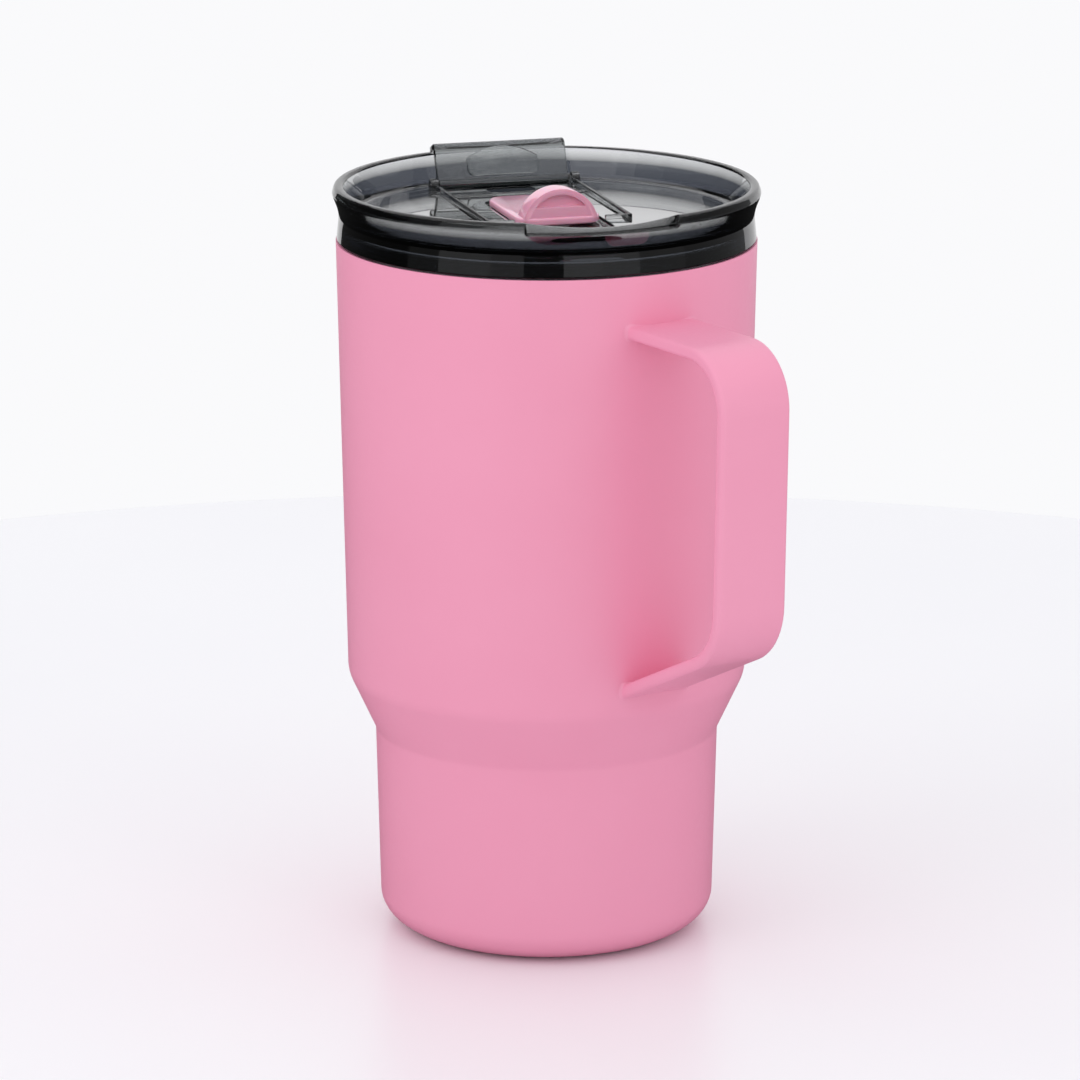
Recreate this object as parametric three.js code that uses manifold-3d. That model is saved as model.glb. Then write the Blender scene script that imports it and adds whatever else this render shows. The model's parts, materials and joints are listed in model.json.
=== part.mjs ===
// Insulated travel mug with a strap handle and a press-in drinking lid.
//
// Millimetres, +Z up. The origin is on the mug's axis, in the plane it stands on, and the handle
// is on the +X side. The lid is a nested group, turned about Z, whose own +X points at the spout.
//
// The mug is two steel walls with a vacuum between them, closed underneath by a welded disc.
// The lid carries a hinged cover over a straw hole and a slider over a sip hole.

import * as THREE from "three";
import { mergeVertices } from "three/addons/utils/BufferGeometryUtils.js";
import Module from "manifold-3d";

const wasm = await Module();
wasm.setup();

// ---------------------------------------------------------------- driving dimensions

// Outer wall of the mug, measured on the outside.
const base_radius = 36.5; // slim lower part, just above the bottom corner
const waist_radius = 37.4; // top of the slim lower part
const waist_height = 44.8; // where the cone starts
const shoulder_radius = 43.3; // where the cone meets the tall upper wall
const shoulder_height = 57.5;
const shoulder_round = 7.8; // blend between cone and upper wall
const rim_radius = 45.25; // at the mouth
const mug_height = 152.75;
const corner_width = 9.9; // bottom corner, radially
const corner_rise = 7.5; // bottom corner, vertically
const foot_width = 1.6; // flat ring that the mug stands on
const flange_rise = 2.6; // the shell's turned-up inner edge under the foot

// Walls.
const shell_wall = 0.6;
const vacuum_gap = 1.9;
const liner_wall = 0.5;
const liner_floor = 6.2; // underside of the liner above the table
const liner_corner = 8.0;
const neck_depth = 14.0; // straight mouth that takes the lid's plug
const neck_taper = 6.0; // height over which the liner narrows below the neck
const weld_gap = 0.3; // left between pieces that are welded or seated face to face

// Foil wrapped round the liner inside the vacuum.
const foil_thickness = 0.2;
const foil_start = 14.0; // lower edge above the table
const foil_end_margin = 4.0; // left free below the liner's taper

// Underside.
const base_disc_thickness = 0.6;
const base_disc_height = 1.5; // its underside above the table
const dimple_radius = 7.0;
const dimple_depth = 1.0;
const port_radius = 1.2; // hole the air is drawn out through
const bead_radius = 3.4;
const bead_thickness = 0.6;
const pad_chamfer = 0.3; // round the lower edge of the non-slip pad
const getter_radius = 4.0;
const getter_thickness = 1.6;
const getter_offset = 16.0; // from the mug's axis

// Strap handle. Heights are those of its outer surface.
const handle_width = 16.9;
const handle_thickness = 2.8;
const handle_edge_round = 1.0;
const handle_top = 142.3;
const handle_reach = 79.9; // outer face from the mug's axis, at the upper bend
const handle_lean = 1.4; // degrees that the grip follows the mug's own taper
const handle_top_bend = 13.0;
const handle_low_bend = 15.0;
const handle_foot_height = 61.7; // lower face where it meets the shell
const handle_foot_slope = 25.0; // degrees that the lower arm falls towards the mug

// Lid, turned from the handle so the spout is where the drinker wants it.
const lid_turn = -16.5; // degrees
const lid_band_inset = 0.15; // lower edge of the outer band, inside the mug's rim
const lid_waist_inset = 0.75; // narrowest part of the band, inside the mug's rim
const lid_band_waist_height = 6.3; // above the mug's rim
const lid_lip_overhang = 0.8; // flared lip, outside the mug's rim
const lid_height = 12.0; // crest above the mug's rim
const lid_crest_width = 1.7;
const lid_well_inset = 4.25; // foot of the inner wall, inside the mug's rim
const lid_well_depth = 6.5; // crest to deck
const deck_thickness = 2.4;
const plug_wall = 2.2;
const plug_length = 10.4; // below the mug's rim
const plug_clearance = 1.2; // plug to liner
const gasket_height = 4.0;
const gasket_groove = 1.5;
const gasket_clearance = 0.2; // gasket fins to liner
const gasket_above_plug_end = 2.6;

// Channel for the flap and the slider, on the deck.
const channel_width = 30.4; // between the rails
const rail_width = 0.8;
const rail_height = 1.0;
const channel_front = 10.7; // front rails, towards the spout
const seat_bar_position = -21.4; // low bar in front of the closed flap
const seat_bar_height = 0.4;

// Flap over the straw hole.
const hinge_position = -33.4;
const hinge_rise = 0.7; // hinge axis above the deck
const barrel_radius = 1.1;
const trough_clearance = 0.4; // round the barrel, in the deck under it
const pivot_radius = 0.7;
const pivot_clearance = 0.15;
const pivot_length = 1.3;
const flap_side_clearance = 0.3;
const flap_length = 9.8; // hinge axis to the outside of the lip
const flap_thickness = 1.6;
const flap_lip = 4.4; // lip height, over the underside of the plate
const flap_open_angle = 115; // degrees from closed
const lug_width = 1.8;
const lug_wall = 0.65; // around the pivot hole
const straw_hole_width = 11.0;
const straw_hole_length = 5.8;
const straw_hole_reach = 5.1; // its middle from the hinge axis
const flap_seal_thickness = 0.7;
const flap_seal_width = 16.0;
const flap_seal_round = 14.0; // radius of its front edge
const flap_seal_start = 1.7; // from the hinge axis
const flap_seal_end = 8.2;

// Slider, its clip under the deck and the sip hole it closes.
const slider_width = 18.6;
const slider_back = -15.8;
const slider_front = 11.6;
const slider_corner = 4.0;
const slider_thickness = 1.6;
const slider_travel = 9.0;
const pocket_depth = 0.8;
const pocket_side = 0.7; // clearance beside the slider
const pocket_end = 1.8; // clearance behind it when it is back
const slider_lift = 0.3; // slider above the pocket's floor
const tab_front = 11.0;
const tab_thickness = 5.0;
const tab_radius = 8.4;
const tab_height = 7.2; // above the deck
const tab_scoop_depth = 1.2;
const tab_rim = 1.3; // left standing round the scoop
const tab_step_height = 2.2; // ledge at the foot of the scoop
const stem_width = 5.0;
const stem_length = 5.0;
const stem_position = -2.0;
const stem_clearance = 0.3;
const stem_hook = 0.8; // the snap hooks' reach under the clip
const stem_hook_height = 1.0;
const clip_thickness = 1.6;
const clip_drop = 1.5; // clip's top under the deck, filled by the pad
const clip_width = 19.0;
const clip_back = -8.0;
const clip_front = 26.0;
const clip_corner = 3.0;
const pad_thickness = 0.9;
const pad_margin = 1.0; // inside the clip's edge and in front of the stem
const pad_corner = 2.0;
const sip_hole_width = 15.0;
const sip_hole_length = 5.8;
const sip_hole_position = 30.0;

// Drinking notch in the front of the rim.
const notch_half_width = 16.6;
const notch_drop = 1.4; // crest lowered in the middle of the notch
const notch_sag_radius = 111; // curve of the lowered crest
const notch_lip_radius = 44.0; // lip left standing inside the notch
const notch_ledge_drop = 2.6; // ledge under the notch, below the crest

// Smoothness.
const round_segments = 60;
const small_segments = 24;
const arc_step = 30; // degrees between points on a rounded corner

// ---------------------------------------------------------------- materials

const finish = (color, roughness, metalness, opacity = 1) =>
  new THREE.MeshStandardMaterial({ color, roughness, metalness, opacity, transparent: opacity < 1 });

const powder_coat = () => finish(0xf0a0bc, 0.5, 0.0);
const brushed_steel = () => finish(0xb9bbbd, 0.32, 1.0);
const copper_foil = () => finish(0xc98258, 0.25, 1.0);
const smoke_plastic = () => finish(0x3a3e42, 0.08, 0.0, 0.6);
const silicone = () => finish(0xd9dbdd, 0.55, 0.0);
const gloss_pink = () => finish(0xf2a3bf, 0.15, 0.0);
const glass_bead = () => finish(0x6f7f86, 0.2, 0.0);
const getter_metal = () => finish(0x77797c, 0.6, 0.8);

// ---------------------------------------------------------------- shape helpers

const radians = THREE.MathUtils.degToRad;

// A closed manifold solid from a closed three.js geometry.
function solid(geometry) {
  const plain = geometry.clone();
  plain.deleteAttribute("normal");
  plain.deleteAttribute("uv");
  const merged = mergeVertices(plain, 1e-4);
  const index = merged.index.array;
  const triangles = [];
  for (let i = 0; i < index.length; i += 3) {
    const [a, b, c] = [index[i], index[i + 1], index[i + 2]];
    if (a !== b && b !== c && c !== a) triangles.push(a, b, c);
  }
  return new wasm.Manifold(new wasm.Mesh({
    numProp: 3,
    vertProperties: new Float32Array(merged.attributes.position.array),
    triVerts: new Uint32Array(triangles),
  }));
}

// A named three.js mesh from a manifold solid.
function piece(name, shape, material) {
  const out = shape.getMesh();
  const geometry = new THREE.BufferGeometry();
  geometry.setAttribute("position", new THREE.BufferAttribute(out.vertProperties, 3));
  geometry.setIndex(new THREE.BufferAttribute(out.triVerts, 1));
  geometry.computeVertexNormals();
  const mesh = new THREE.Mesh(geometry, material);
  mesh.name = name;
  return mesh;
}

// Rounds the corners of a polyline. A corner is [x, y] or [x, y, radius].
function rounded(corners, closed = false) {
  const points = [];
  const count = corners.length;
  corners.forEach(([x, y, radius = 0], i) => {
    const at = new THREE.Vector2(x, y);
    const ends_here = !closed && (i === 0 || i === count - 1);
    if (radius === 0 || ends_here) {
      points.push(at);
      return;
    }
    const before = new THREE.Vector2(...corners[(i + count - 1) % count].slice(0, 2)).sub(at);
    const after = new THREE.Vector2(...corners[(i + 1) % count].slice(0, 2)).sub(at);
    const half = Math.acos(before.dot(after) / before.length() / after.length()) / 2;
    const reach = Math.min(radius / Math.tan(half), 0.49 * before.length(), 0.49 * after.length());
    const used = reach * Math.tan(half);
    const start = at.clone().addScaledVector(before.normalize(), reach);
    const middle = before.clone().add(after.normalize()).normalize();
    const center = at.clone().addScaledVector(middle, used / Math.sin(half));
    const turn = Math.PI - 2 * half;
    const sweep = -Math.sign(before.cross(after)) * turn;
    const steps = Math.max(2, Math.ceil(turn / radians(arc_step)));
    for (let k = 0; k <= steps; k += 1) {
      points.push(start.clone().rotateAround(center, (sweep * k) / steps));
    }
  });
  return points;
}

// A polyline moved sideways to its left by a distance, with its corners kept sharp.
function offset(points, distance) {
  const normals = points.slice(1).map((point, i) => {
    const along = new THREE.Vector2().subVectors(point, points[i]).normalize();
    return new THREE.Vector2(-along.y, along.x);
  });
  return points.map((point, i) => {
    const a = normals[Math.max(i - 1, 0)];
    const b = normals[Math.min(i, normals.length - 1)];
    const middle = a.clone().add(b).normalize();
    return point.clone().addScaledVector(middle, distance / middle.dot(a));
  });
}

// A turned solid about Z. The outline runs anticlockwise: up on the outside, down on the inside.
function turned(outline, segments = round_segments) {
  const closed = outline[0].x > 0 || outline[outline.length - 1].x > 0;
  const points = closed ? [...outline, outline[0].clone()] : outline;
  return solid(new THREE.LatheGeometry(points, segments).rotateX(Math.PI / 2));
}

// A flat outline in X and Y pushed up from z = low to z = high.
function slab(shape, low, high) {
  const depth = high - low;
  return solid(new THREE.ExtrudeGeometry(shape, { depth, bevelEnabled: false }).translate(0, 0, low));
}

// A side outline in X and Z spread evenly about y = 0.
function spread(shape, width, edge_round = 0) {
  const bevel = {
    bevelEnabled: edge_round > 0,
    bevelThickness: edge_round,
    bevelSize: edge_round,
    bevelOffset: -edge_round,
    bevelSegments: 4,
  };
  const depth = width - 2 * edge_round;
  const body = new THREE.ExtrudeGeometry(shape, { depth, ...bevel });
  return solid(body.translate(0, 0, -depth / 2).rotateX(Math.PI / 2));
}

function box(x0, x1, y0, y1, z0, z1) {
  const block = new THREE.BoxGeometry(x1 - x0, y1 - y0, z1 - z0);
  return solid(block.translate((x0 + x1) / 2, (y0 + y1) / 2, (z0 + z1) / 2));
}

// A round bar along Z at (x, y).
function post(radius, z0, z1, x = 0, y = 0, segments = small_segments) {
  const bar = new THREE.CylinderGeometry(radius, radius, z1 - z0, segments);
  return solid(bar.rotateX(Math.PI / 2).translate(x, y, (z0 + z1) / 2));
}

// A round bar along Y at (x, z).
function crossbar(radius, y0, y1, x, z, segments = small_segments) {
  const bar = new THREE.CylinderGeometry(radius, radius, y1 - y0, segments);
  return solid(bar.translate(x, (y0 + y1) / 2, z));
}

// A rectangle with round corners, as a shape in X and Y.
function rounded_rectangle(x0, x1, y0, y1, radius) {
  return new THREE.Shape(rounded([
    [x0, y0, radius],
    [x1, y0, radius],
    [x1, y1, radius],
    [x0, y1, radius],
  ], true));
}

// ---------------------------------------------------------------- mug walls

const corner_center = base_radius - corner_width;

// Quarter of an ellipse from the foot to the wall.
function bottom_corner() {
  const curve = new THREE.EllipseCurve(corner_center, corner_rise, corner_width, corner_rise,
    -Math.PI / 2, 0);
  return curve.getPoints(5);
}

const flange_radius = corner_center - foot_width;

const wall_corners = [
  new THREE.Vector2(base_radius, corner_rise),
  new THREE.Vector2(waist_radius, waist_height),
  new THREE.Vector2(shoulder_radius, shoulder_height),
  new THREE.Vector2(rim_radius, mug_height),
];

// The four corners of the wall moved inwards, the ends kept at their own heights.
function wall_inset(depth) {
  return offset(wall_corners, depth);
}

// Outside of the mug from the turned-up flange to the rim.
function shell_outside() {
  const [low, waist, shoulder, rim] = wall_corners;
  const wall = rounded([
    [low.x, low.y],
    [waist.x, waist.y],
    [shoulder.x, shoulder.y, shoulder_round],
    [rim.x, rim.y],
  ]);
  return [
    new THREE.Vector2(flange_radius, flange_rise),
    new THREE.Vector2(flange_radius, 0.5),
    new THREE.Vector2(flange_radius + 0.5, 0),
    ...bottom_corner(),
    ...wall.slice(1),
  ];
}

function outer_shell() {
  const outside = shell_outside();
  const inside = offset(outside, shell_wall);
  inside[0].y = flange_rise;
  inside[inside.length - 1].y = mug_height;
  return turned([...outside, ...inside.reverse()]);
}

// A solid of the whole mug, used to trim what is welded to its outside.
function mug_envelope(clearance) {
  const outside = offset(shell_outside(), -clearance);
  const top = outside[outside.length - 1];
  return turned([
    new THREE.Vector2(0, -clearance),
    ...outside.slice(3),
    new THREE.Vector2(top.x, mug_height + clearance),
    new THREE.Vector2(0, mug_height + clearance),
  ]);
}

// The straight neck fits the rim, and also the narrower place in the cone where it ends.
const neck_foot = mug_height - neck_depth;
const neck_share = (neck_foot - shoulder_height) / (mug_height - shoulder_height);
const cone_at_neck = THREE.MathUtils.lerp(shoulder_radius, rim_radius, neck_share);
const neck_outer = Math.min(rim_radius - weld_gap, cone_at_neck) - shell_wall;
const neck_inner = neck_outer - liner_wall;

// Outside of the steel liner from its floor to the mouth.
function liner_outside() {
  const [low, waist, shoulder, rim] = wall_inset(shell_wall + vacuum_gap);
  const top_height = neck_foot - neck_taper;
  const share = (top_height - shoulder.y) / (rim.y - shoulder.y);
  const top_radius = THREE.MathUtils.lerp(shoulder.x, rim.x, share);
  return rounded([
    [0, liner_floor],
    [low.x, liner_floor, liner_corner],
    [waist.x, waist.y],
    [shoulder.x, shoulder.y, 5],
    [top_radius, top_height, 3],
    [neck_outer, neck_foot, 3],
    [neck_outer, mug_height],
  ]);
}

function inner_liner() {
  const outside = liner_outside();
  const inside = offset(outside, liner_wall);
  inside[0].x = 0;
  return turned([...outside, ...inside.reverse()]);
}

// Thin foil sleeve standing in the vacuum, halfway between the two walls.
function foil_sleeve() {
  const depth = shell_wall + (vacuum_gap - foil_thickness) / 2;
  const [low, waist, shoulder, rim] = wall_inset(depth);
  const top_height = neck_foot - neck_taper - foil_end_margin;
  const share = (top_height - shoulder.y) / (rim.y - shoulder.y);
  const outside = rounded([
    [THREE.MathUtils.lerp(low.x, waist.x, 0.2), foil_start],
    [waist.x, waist.y],
    [shoulder.x, shoulder.y],
    [THREE.MathUtils.lerp(shoulder.x, rim.x, share), top_height],
  ]);
  const inside = offset(outside, foil_thickness);
  return turned([...outside, ...inside.reverse()]);
}

// ---------------------------------------------------------------- underside

function base_disc() {
  const edge = flange_radius - weld_gap;
  const low = base_disc_height;
  const raised = low + dimple_depth;
  const underside = [
    new THREE.Vector2(0, raised),
    new THREE.Vector2(dimple_radius - dimple_depth, raised),
    new THREE.Vector2(dimple_radius, low),
    new THREE.Vector2(edge, low),
  ];
  const topside = underside.map((point) => point.clone().setY(point.y + base_disc_thickness));
  const port = post(port_radius, 0, flange_rise + raised);
  return turned([...underside, ...topside.reverse()]).subtract(port);
}

// Glass bead melted into the evacuation port: a flat cap with a stem up through the hole.
function seal_bead() {
  const cap_top = base_disc_height + dimple_depth - weld_gap;
  const cap = post(bead_radius, cap_top - bead_thickness, cap_top);
  const stem = post(port_radius - weld_gap, cap_top - bead_thickness / 2, cap_top + weld_gap
    + base_disc_thickness / 2);
  return cap.add(stem);
}

// Silicone pad in the foot's recess, flush with the ring that the mug stands on.
function base_pad() {
  const edge = flange_radius - weld_gap;
  const top = base_disc_height - weld_gap;
  return turned([
    new THREE.Vector2(0, 0),
    new THREE.Vector2(edge - pad_chamfer, 0),
    new THREE.Vector2(edge, pad_chamfer),
    new THREE.Vector2(edge, top),
    new THREE.Vector2(0, top),
  ]);
}

function getter() {
  const top = liner_floor - weld_gap;
  return post(getter_radius, top - getter_thickness, top, getter_offset, 0);
}

// ---------------------------------------------------------------- handle

function handle_strap() {
  const lean = radians(handle_lean);
  const slope = radians(handle_foot_slope);
  const start = rim_radius - 6; // inside the wall, trimmed off below
  const low_start_height = handle_foot_height - (shoulder_radius - start) * Math.tan(slope);
  // Outer corners: along the top, down the grip, then in along the sloping lower arm.
  const grip_at = (z) => handle_reach - (handle_top - handle_top_bend - z) * Math.tan(lean);
  const run = grip_at(handle_foot_height) - start;
  const low_corner_height = low_start_height
    + (run * Math.tan(slope)) / (1 - Math.tan(slope) * Math.tan(lean));
  const outer = [
    [start, handle_top],
    [grip_at(handle_top), handle_top],
    [grip_at(low_corner_height), low_corner_height],
    [start, low_start_height],
  ];
  const inner = offset(outer.map(([x, y]) => new THREE.Vector2(x, y)), -handle_thickness);
  const radii = [0, handle_top_bend, handle_low_bend, 0];
  const outside = rounded(outer.map(([x, y], i) => [x, y, radii[i]]));
  const inside = rounded(inner.map((point, i) => (
    [point.x, point.y, Math.max(radii[i] - handle_thickness, 0)])));
  const strap = spread(new THREE.Shape([...outside, ...inside.reverse()]), handle_width,
    handle_edge_round);
  return strap.subtract(mug_envelope(weld_gap));
}

// ---------------------------------------------------------------- lid

const seat = mug_height + weld_gap; // underside of the lid's flange
const crest = mug_height + lid_height;
const deck = crest - lid_well_depth;
const deck_under = deck - deck_thickness;
const plug_outer = neck_inner - plug_clearance;
const lid_band_radius = rim_radius - lid_band_inset;
const lid_waist_radius = rim_radius - lid_waist_inset;
const lid_lip_radius = rim_radius + lid_lip_overhang;
const lid_well_radius = rim_radius - lid_well_inset;
const plug_inner = plug_outer - plug_wall;
const plug_end = mug_height - plug_length;
const groove_low = plug_end + gasket_above_plug_end;
const groove_high = groove_low + gasket_height;
const groove_radius = plug_outer - gasket_groove;
const hinge_height = deck + hinge_rise;

// The whole turned lid: plug, flange, outer band, crest, well and deck.
function lid_blank() {
  const waist_z = mug_height + lid_band_waist_height;
  return turned(rounded([
    [0, deck_under],
    [plug_inner, deck_under, 1.2],
    [plug_inner, plug_end],
    [plug_outer - 0.8, plug_end],
    [plug_outer, plug_end + 1.0],
    [plug_outer, groove_low],
    [groove_radius, groove_low],
    [groove_radius, groove_high],
    [plug_outer, groove_high],
    [plug_outer, seat],
    [lid_band_radius, seat, 0.3],
    [lid_waist_radius, waist_z, 12],
    [lid_lip_radius, crest - 1.7, 1.0],
    [lid_lip_radius - 0.6, crest, 0.9],
    [lid_lip_radius - 0.6 - lid_crest_width, crest, 0.8],
    [lid_well_radius, deck, 1.4],
    [0, deck],
  ]));
}

// The rim is lowered in front of the sip hole and its flare is cut back to a thin lip.
function drinking_notch() {
  const low = crest - notch_drop;
  const reach = lid_lip_radius + 2;
  const inside = lid_well_radius - 4;
  const sag = solid(new THREE.CylinderGeometry(notch_sag_radius, notch_sag_radius, reach - inside, 192)
    .rotateZ(Math.PI / 2).translate((reach + inside) / 2, 0, low + notch_sag_radius));
  const window_box = box(inside, reach, -notch_half_width, notch_half_width, deck + 1, crest + 3);
  const lowered = sag.intersect(window_box);
  const ledge = crest - notch_ledge_drop;
  const flare = box(inside, reach, -notch_half_width, notch_half_width, ledge, crest + 3)
    .subtract(post(notch_lip_radius, ledge - 1, crest + 4, 0, 0, round_segments));
  return lowered.add(flare);
}

// Rails on both sides of the channel, with short front returns beside the slider's pocket.
function channel_rails() {
  const inner = channel_width / 2;
  const outer = inner + rail_width;
  const pocket_edge = slider_width / 2 + pocket_side;
  const top = deck + rail_height;
  const low = deck - 0.5;
  let rails = box(seat_bar_position, seat_bar_position + rail_width, -inner - 0.2, inner + 0.2,
    low, deck + seat_bar_height);
  for (const side of [-1, 1]) {
    const [y0, y1] = [side * inner, side * outer].sort((a, b) => a - b);
    rails = rails.add(box(hinge_position, channel_front, y0, y1, low, top));
    const [y2, y3] = [side * pocket_edge, side * outer].sort((a, b) => a - b);
    rails = rails.add(box(channel_front - rail_width, channel_front, y2, y3, low, top));
  }
  return rails;
}

// Two ears that hold the flap's pivots, at the back ends of the rails.
function hinge_lugs() {
  const radius = pivot_radius + pivot_clearance + lug_wall;
  const inner = channel_width / 2;
  const one_side = (y0, y1) => crossbar(radius, y0, y1, hinge_position, hinge_height)
    .add(box(hinge_position - radius, hinge_position + radius, y0, y1, deck - 0.5, hinge_height));
  return one_side(-inner - lug_width, -inner).add(one_side(inner, inner + lug_width));
}

const pocket_back = slider_back - pocket_end;
const pocket_front = slider_front + slider_travel + pocket_side;
const stem_slot = { back: stem_position - stem_length / 2 - stem_clearance,
  front: stem_position + stem_length / 2 + slider_travel + stem_clearance };

// A hole through the deck with nearly round ends, its middle at x = position.
function deck_hole(position, length, width) {
  const outline = rounded_rectangle(position - length / 2, position + length / 2, -width / 2,
    width / 2, length / 2 - 0.1);
  return slab(outline, deck_under - 1, deck + 1);
}

function lid_shell() {
  const pocket_half = slider_width / 2 + pocket_side;
  const pocket = slab(rounded_rectangle(pocket_back, pocket_front, -pocket_half, pocket_half,
    slider_corner + pocket_side), deck - pocket_depth, deck + 5);
  const slot_half = stem_width / 2 + stem_clearance;
  const slot = slab(rounded_rectangle(stem_slot.back, stem_slot.front, -slot_half, slot_half, 1),
    deck_under - 1, deck + 1);
  const sip = deck_hole(sip_hole_position, sip_hole_length, sip_hole_width);
  const straw = deck_hole(hinge_position + straw_hole_reach, straw_hole_length, straw_hole_width);
  const ear_reach = channel_width / 2 + lug_width + 0.1;
  const pivots = crossbar(pivot_radius + pivot_clearance, -ear_reach, ear_reach, hinge_position,
    hinge_height);
  const trough = crossbar(barrel_radius + trough_clearance, -channel_width / 2, channel_width / 2,
    hinge_position, hinge_height);
  return lid_blank()
    .subtract(drinking_notch())
    .add(channel_rails())
    .add(hinge_lugs())
    .subtract(pocket)
    .subtract(slot)
    .subtract(sip)
    .subtract(straw)
    .subtract(pivots)
    .subtract(trough);
}

// Silicone ring with two fins that wipe the steel neck.
function lid_gasket() {
  const back = groove_radius + weld_gap;
  const fin = neck_inner - gasket_clearance;
  const low = groove_low + weld_gap;
  const high = groove_high - weld_gap;
  const third = (high - low) / 4;
  return turned(rounded([
    [back, low],
    [plug_outer, low],
    [fin, low + third * 0.6],
    [fin, low + third * 1.2],
    [plug_outer, low + third * 1.6],
    [plug_outer, low + third * 2.4],
    [fin, low + third * 2.8],
    [fin, low + third * 3.4],
    [plug_outer, high],
    [back, high],
  ]));
}

// ---------------------------------------------------------------- flap

// Drawn closed, with the hinge axis at the origin and the plate running along +X. Closed, the
// seal lies on the deck.
const flap_underside = flap_seal_thickness + weld_gap - hinge_rise;

function flap_cover() {
  const half = channel_width / 2 - flap_side_clearance;
  const top = flap_underside + flap_thickness;
  const outline = new THREE.Shape(rounded([
    [0, flap_underside],
    [flap_length, flap_underside, 1.6],
    [flap_length, flap_underside + flap_lip, 0.5],
    [flap_length - flap_thickness, flap_underside + flap_lip, 0.5],
    [flap_length - flap_thickness, top, 0.8],
    [0, top, 1.0],
  ], true));
  const plate = spread(outline, 2 * half, 0.3);
  const barrel = crossbar(barrel_radius, -half, half, 0, 0);
  const pivots = crossbar(pivot_radius, -half - pivot_length, half + pivot_length, 0, 0);
  return plate.add(barrel).add(pivots);
}

// Thin silicone pad under the flap, D-shaped, its front edge an arc.
function flap_seal() {
  const half = flap_seal_width / 2;
  const reach = Math.asin(half / flap_seal_round);
  const front = new THREE.EllipseCurve(flap_seal_end - flap_seal_round, 0, flap_seal_round,
    flap_seal_round, -reach, reach).getPoints(12);
  const outline = new THREE.Shape([
    new THREE.Vector2(flap_seal_start + 1, half),
    new THREE.Vector2(flap_seal_start, half - 1),
    new THREE.Vector2(flap_seal_start, -half + 1),
    new THREE.Vector2(flap_seal_start + 1, -half),
    ...front,
  ]);
  const top = flap_underside - weld_gap;
  return slab(outline, top - flap_seal_thickness + weld_gap, top);
}

// ---------------------------------------------------------------- slider

const slider_low = deck - pocket_depth + slider_lift;
const clip_top = deck_under - clip_drop;
const clip_low = clip_top - clip_thickness;

// Pink plate with an upright half-round thumb tab, and a stem down through the deck and the clip.
function slider_tab() {
  const half = slider_width / 2;
  const plate_top = slider_low + slider_thickness;
  const plate = slab(rounded_rectangle(slider_back, slider_front, -half, half, slider_corner),
    slider_low, plate_top);
  const center_height = deck + tab_height - tab_radius;
  const wheel = (radius, x0, x1) => solid(new THREE.CylinderGeometry(radius, radius, x1 - x0, 48)
    .rotateZ(Math.PI / 2).translate((x0 + x1) / 2, 0, center_height));
  const above = (height) => box(slider_back, slider_front, -half, half, height, deck + tab_height);
  const tab = wheel(tab_radius, tab_front - tab_thickness, tab_front)
    .intersect(above(plate_top - 0.4));
  const scoop = wheel(tab_radius - tab_rim, tab_front - tab_scoop_depth, slider_front + 1)
    .intersect(above(plate_top + tab_step_height));
  return plate.add(tab).subtract(scoop).add(slider_stem());
}

// Square stem with a snap hook on each side that catches under the clip.
function slider_stem() {
  const half = stem_width / 2;
  const [x0, x1] = [stem_position - stem_length / 2, stem_position + stem_length / 2];
  const hook_top = clip_low - weld_gap;
  const hook_low = hook_top - stem_hook_height;
  return box(x0, x1, -half, half, hook_low, slider_low + slider_thickness / 2)
    .add(box(x0, x1, -half - stem_hook, half + stem_hook, hook_low, hook_top));
}

// Lower clip that the stem snaps through; it carries the pad that closes the sip hole.
function slider_clip() {
  const half = clip_width / 2;
  const [hole_x, hole_y] = [stem_length / 2 + weld_gap, stem_width / 2 + weld_gap];
  const socket = box(stem_position - hole_x, stem_position + hole_x, -hole_y, hole_y, clip_low - 1,
    clip_top + 1);
  return slab(rounded_rectangle(clip_back, clip_front, -half, half, clip_corner), clip_low, clip_top)
    .subtract(socket);
}

// Silicone pad on the clip, in front of the stem.
function slider_pad() {
  const half = clip_width / 2 - pad_margin;
  const back = stem_position + stem_length / 2 + pad_margin;
  const low = clip_top + weld_gap;
  return slab(rounded_rectangle(back, clip_front - pad_margin, -half, half, pad_corner), low,
    low + pad_thickness);
}

// ---------------------------------------------------------------- assembly

const mug = new THREE.Group();
mug.add(
  piece("outer_shell", outer_shell(), powder_coat()),
  piece("inner_liner", inner_liner(), brushed_steel()),
  piece("foil_sleeve", foil_sleeve(), copper_foil()),
  piece("base_disc", base_disc(), powder_coat()),
  piece("seal_bead", seal_bead(), glass_bead()),
  piece("base_pad", base_pad(), silicone()),
  piece("getter", getter(), getter_metal()),
  piece("handle_strap", handle_strap(), powder_coat()),
);

const flap = new THREE.Group();
flap.add(
  piece("flap_cover", flap_cover(), smoke_plastic()),
  piece("flap_seal", flap_seal(), silicone()),
);
flap.position.set(hinge_position, 0, hinge_height);
flap.rotation.y = -radians(flap_open_angle);

const lid = new THREE.Group();
lid.add(
  piece("lid_shell", lid_shell(), smoke_plastic()),
  piece("lid_gasket", lid_gasket(), silicone()),
  piece("slider_tab", slider_tab(), gloss_pink()),
  piece("slider_clip", slider_clip(), gloss_pink()),
  piece("slider_pad", slider_pad(), silicone()),
  flap,
);
lid.rotation.z = radians(lid_turn);

const part = new THREE.Group();
part.add(mug, lid);

export default part;
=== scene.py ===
# %% [markdown]
# # A vacuum travel mug with a strap handle and a flip-and-slide lid
#
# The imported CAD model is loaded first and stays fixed: it says where every piece is, which body
# each one rides on and where the joints are. Its curved pieces are cut into flat facets, which is
# enough to test how they move. This script makes the fine, visible pieces around that frame and
# gives each one the finish of the real material.

# %% Load the frame
import json
import math

import bmesh
import bpy
from mathutils import Matrix, Vector


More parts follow.
